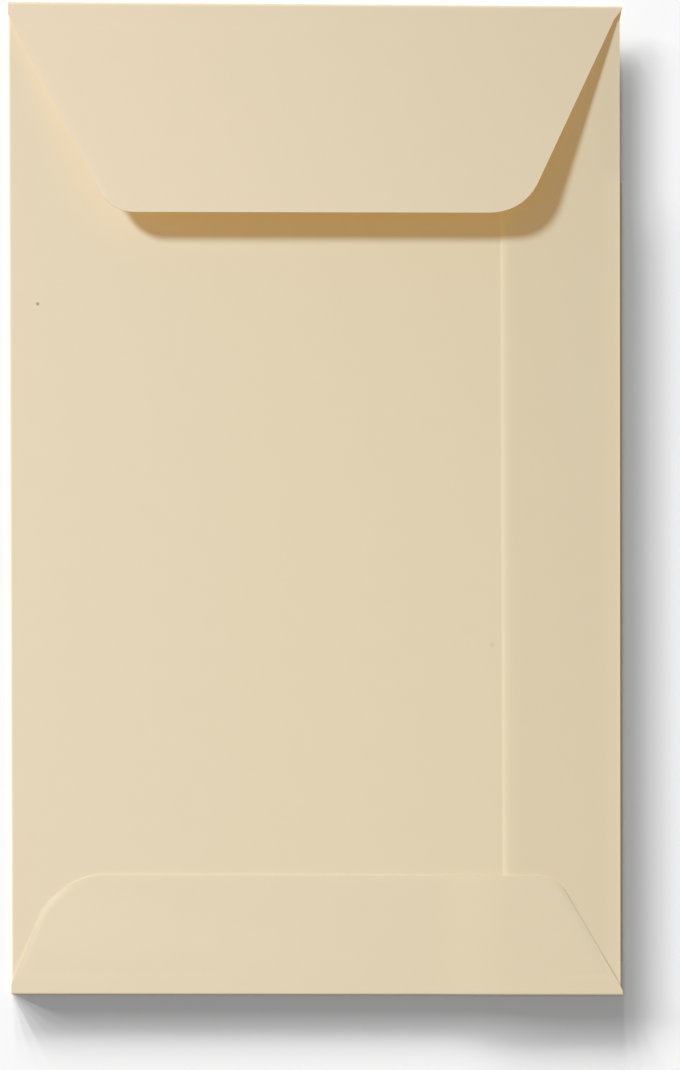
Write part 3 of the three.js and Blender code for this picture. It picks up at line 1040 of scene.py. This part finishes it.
print("pools", round(1 / POOLS_PER_MM, 1), "mm wide")

# %% [markdown]
# ## Glue and gum
# The seams are closed with a white dispersion glue, which dries to a dull film between two layers of
# paper. The closing flap carries gum that is wetted to seal it, a faintly glossy film, a little paler
# than the paper and seen only when the flap is open. New strips could be drawn for them, but the packed
# model's have the right shapes, so they keep those and only get their materials here.

# %% Glue and gum
dried_glue = dried_film("dried_dispersion_glue", ("#d4c79f", "#dccfaa"), roughness=0.6, ripple=0.01)
dried_gum = dried_film("dried_flap_gum", ("#e0d7bd", "#e8e1ca"), roughness=0.28, ripple=0.02)

for name, material in (
    ("side_seam_glue", dried_glue),
    ("bottom_seam_glue", dried_glue),
    ("gum_strip", dried_gum),
):
    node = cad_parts[name]
    node.data.materials.clear()
    node.data.materials.append(material)
    print(name, "gets", material.name)

# %% [markdown]
# ## The sheets take the solids' places
# The imported model cuts the one sheet into nine solids, so that its flap can turn. Each sheet drawn here
# stands for two or three of them. Three sheets move with the pocket. The fourth crosses the joint, and
# is left where it lies, attached to neither the pocket nor the flap.

for piece, nodes in (
    (back, ("left_fold", "back_panel")),
    (side_flap, ("side_flap", "right_fold")),
    (bottom, ("bottom_fold", "bottom_flap")),
):
    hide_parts(*nodes)
    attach(piece, "pocket")
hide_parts("front_panel", "flap_crease", "closing_flap")
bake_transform(front)
for piece, paper in (
    (front, front_paper),
    (back, back_paper),
    (side_flap, back_paper),
    (bottom, bottom_paper),
):
    piece.data.materials.clear()
    piece.data.materials.append(paper)
    print(piece.name, "gets", paper.name)

# %% [markdown]
# ## The floor
# A product table is a smooth board painted matt white. A plane would do, and a wide disc is one that
# never shows a corner, from any side. It is a hair below the envelope, so that the two don't lie in
# the same plane and flicker, and its paint has a barely visible mottle of two greys.

# %% The floor
FLOOR_RADIUS = 3  # metres
FLOOR_DROP = 0.01
MOTTLES_PER_METRE = 40

bpy.ops.object.select_all(action="DESELECT")
bpy.ops.mesh.primitive_circle_add(
    vertices=96, radius=FLOOR_RADIUS, fill_type="NGON", location=(0, 0, -FLOOR_DROP * MM)
)
floor = bpy.context.object
floor.name = "floor"
bpy.ops.object.transform_apply(location=True)
floor_material, tree = new_material("matt_white_table")
floor_place = add_node(tree, "ShaderNodeTexCoord")
mottle = add_node(
    tree,
    "ShaderNodeTexNoise",
    inputs={"Vector": (floor_place, "Object"), "Scale": MOTTLES_PER_METRE, "Detail": 2.0},
)
floor_colour = add_node(
    tree,
    "ShaderNodeMix",
    {"data_type": "RGBA"},
    {"Factor": (mottle, "Fac"), 6: srgb("#f7f7f7"), 7: srgb("#f9f9f9")},
)
floor_shader = add_node(
    tree,
    "ShaderNodeBsdfPrincipled",
    inputs={"Base Color": (floor_colour, 2), "Roughness": 0.9, "Specular IOR Level": 0.2},
)
add_node(tree, "ShaderNodeOutputMaterial", inputs={"Surface": (floor_shader, "BSDF")})
floor.data.materials.append(floor_material)
print("floor", 2 * FLOOR_RADIUS, "m wide")

# %% [markdown]
# ## Light from all around
# A white room gives weak light from every side, which fills the shadows. The world does that. Where
# the camera looks past the floor, or a glossy surface mirrors the room, the world is plain white, and
# for the light that falls on the envelope it is as weak as the photograph's shadows ask.

# %% Light from all around
FILL = 0.255

world = bpy.data.worlds.new("studio")
bpy.context.scene.world = world
world.use_nodes = True
world.node_tree.nodes.clear()
tree = world.node_tree
path = add_node(tree, "ShaderNodeLightPath")
seen = add_node(
    tree,
    "ShaderNodeMath",
    {"operation": "MAXIMUM"},
    {0: (path, "Is Camera Ray"), 1: (path, "Is Glossy Ray")},
)
strength = add_node(
    tree, "ShaderNodeMapRange", inputs={"Value": (seen, "Value"), "To Min": FILL, "To Max": 1.0}
)
sky = add_node(
    tree,
    "ShaderNodeBackground",
    inputs={"Color": (1, 1, 1, 1), "Strength": (strength, "Result")},
)
add_node(tree, "ShaderNodeOutputWorld", inputs={"Surface": (sky, "Background")})
print("fill", FILL)

# %% [markdown]
# ## The main lamp
# One soft lamp stands at the upper left. Its height above the table sets how far the flap's shadow
# falls, and its width sets how blurred the shadow's rim is. A sun would light the whole sheet alike. A
# spot's light falls off from its middle, so this one is aimed at a place left of the envelope, and the
# paper gets darker to the right as it does in the photograph. Light linking, which says what a lamp
# lights, keeps it off the floor, for a reason given next.

# %% The main lamp
KEY_DIRECTION = Vector((-0.597, 0.49, 0.636)).normalized()
KEY_DISTANCE = 1.6
KEY_AIM = Vector((-0.11, -0.045, 0))
KEY_POWER = 128
KEY_RADIUS = 0.13
KEY_CONE = 0.44

envelope_only = bpy.data.collections.new("envelope_only")
for piece in (front, back, side_flap, bottom, *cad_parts.values()):
    envelope_only.objects.link(piece)

key_data = bpy.data.lights.new("key", "SPOT")
key_data.spot_size = KEY_CONE
key_data.spot_blend = 1.0
key_data.shadow_soft_size = KEY_RADIUS
key_data.energy = KEY_POWER
key = bpy.data.objects.new("key", key_data)
bpy.context.scene.collection.objects.link(key)
key.location = KEY_DIRECTION * KEY_DISTANCE
key.rotation_euler = (key.location - KEY_AIM).to_track_quat("Z", "Y").to_euler()
key.light_linking.receiver_collection = envelope_only
print("main lamp", round(math.degrees(math.asin(KEY_DIRECTION.z))), "degrees above the table")

# %% [markdown]
# ## The floor's own lamps
# The envelope is so thin that the main lamp gives it almost no shadow on the floor, and the photograph
# shows a broad one. So the floor has lamps of its own, and the envelope doesn't feel them. They stand
# in a fan at the upper left, low down, because a low lamp draws a long shadow from a thin sheet, and
# several side by side blur it. One more stands high, where the envelope hardly shades it, and lightens
# the whole shadow a little. Each lamp's share is the part of the floor's light that it gives. The
# raised flap casts no shadow from them, because from so low down it would be far too long.

# %% The floor's own lamps
FLOOR_FAN = {26: 0.113, 38: 0.1, 50: 0.09, 62: 0.19, 74: 0.125, 86: 0.085}  # turn in degrees: share
FAN_ELEVATION = 5.5
FAN_SPREAD = 5
HIGH_FLOOR_LAMP = (65, 50, 20, 0.047)  # elevation, turn and spread in degrees, and share

floor_only = bpy.data.collections.new("floor_only")
floor_only.objects.link(floor)
floor_shade = bpy.data.collections.new("floor_shade")
for piece in (back, side_flap, bottom):
    floor_shade.objects.link(piece)

floor_lamps = [(FAN_ELEVATION, turn, FAN_SPREAD, share) for turn, share in FLOOR_FAN.items()]
floor_lamps.append(HIGH_FLOOR_LAMP)
for elevation, turn, spread, share in floor_lamps:
    lamp_data = bpy.data.lights.new(f"floor_lamp_{turn}_{elevation:.0f}", "SUN")
    elevation, turn = math.radians(elevation), math.radians(turn)
    lamp_data.angle = math.radians(spread)
    lamp_data.energy = share * math.pi / math.sin(elevation)
    lamp = bpy.data.objects.new(lamp_data.name, lamp_data)
    bpy.context.scene.collection.objects.link(lamp)
    flat = math.cos(elevation)
    towards = Vector((-math.cos(turn) * flat, math.sin(turn) * flat, math.sin(elevation)))
    lamp.rotation_euler = towards.to_track_quat("Z", "Y").to_euler()
    lamp.light_linking.receiver_collection = floor_only
    lamp.light_linking.blocker_collection = floor_shade
    print(lamp.name, round(lamp_data.energy, 2))
